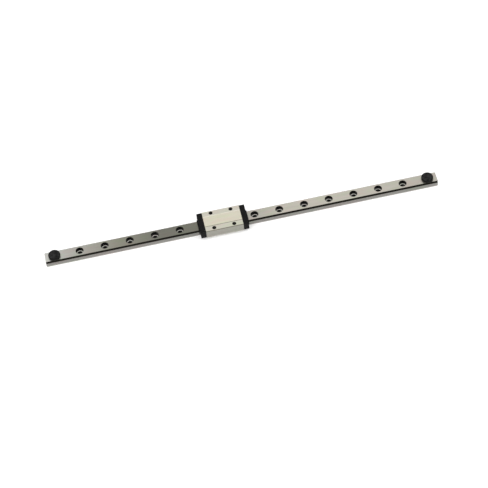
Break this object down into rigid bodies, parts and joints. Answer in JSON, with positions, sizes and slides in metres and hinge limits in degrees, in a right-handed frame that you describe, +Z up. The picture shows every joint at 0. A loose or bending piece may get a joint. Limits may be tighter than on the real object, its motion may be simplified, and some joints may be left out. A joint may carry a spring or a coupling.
{
  "type": "miniature linear guide",
  "caption": "Miniature linear guide: recirculating-ball carriage with tapped top holes, sliding on a counterbored profile rail with push-in end stops.",
  "frame": {"origin": "middle of the rail's underside, which is the middle of the object's footprint", "axes": "+X along the rail to the right, +Y across the rail to the back, +Z up from the rail's underside to the carriage's top"},
  "size_m": [0.315, 0.02, 0.01],
  "materials": {
    "rail_steel": "ground along its length, darker ball tracks",
    "block_steel": "fine ground, light warm grey",
    "cap_plastic": "moulded, slightly grained",
    "guide_plastic": "moulded, smooth",
    "seal_rubber": "matt moulded rubber",
    "stop_rubber": "matt moulded rubber, mottled",
    "screw_steel": "machined",
    "wire_steel": "drawn wire",
    "ball_steel": "polished"
  },
  "bodies": {
    "rail": {"rail": "rail_steel"},
    "carriage": {"carriage_block": "block_steel", "end_cap_left": "cap_plastic", "end_cap_right": "cap_plastic", "end_seal_left": "seal_rubber", "end_seal_right": "seal_rubber", "cap_screw_left_front": "screw_steel", "cap_screw_left_back": "screw_steel", "cap_screw_right_front": "screw_steel", "cap_screw_right_back": "screw_steel", "return_guide_left_front": "guide_plastic", "return_guide_left_back": "guide_plastic", "return_guide_right_front": "guide_plastic", "return_guide_right_back": "guide_plastic", "retainer_wire_front": "wire_steel", "retainer_wire_back": "wire_steel", "loaded_balls_front": "ball_steel", "loaded_balls_back": "ball_steel", "return_balls_front": "ball_steel", "return_balls_back": "ball_steel", "turn_balls_left_front": "ball_steel", "turn_balls_left_back": "ball_steel", "turn_balls_right_front": "ball_steel", "turn_balls_right_back": "ball_steel"},
    "stop_left": {"end_stop_left": "stop_rubber"},
    "stop_right": {"end_stop_right": "stop_rubber"}
  },
  "joints": [
    {"name": "carriage_slide", "type": "slide", "parent": "rail", "child": "carriage", "axis": [1, 0, 0], "range_m": [-0.1095, 0.1405]},
    {"name": "stop_left_pull", "type": "slide", "parent": "rail", "child": "stop_left", "axis": [0, 0, 1], "range_m": [0, 0.008]},
    {"name": "stop_right_pull", "type": "slide", "parent": "rail", "child": "stop_right", "axis": [0, 0, 1], "range_m": [0, 0.008]}
  ]
}
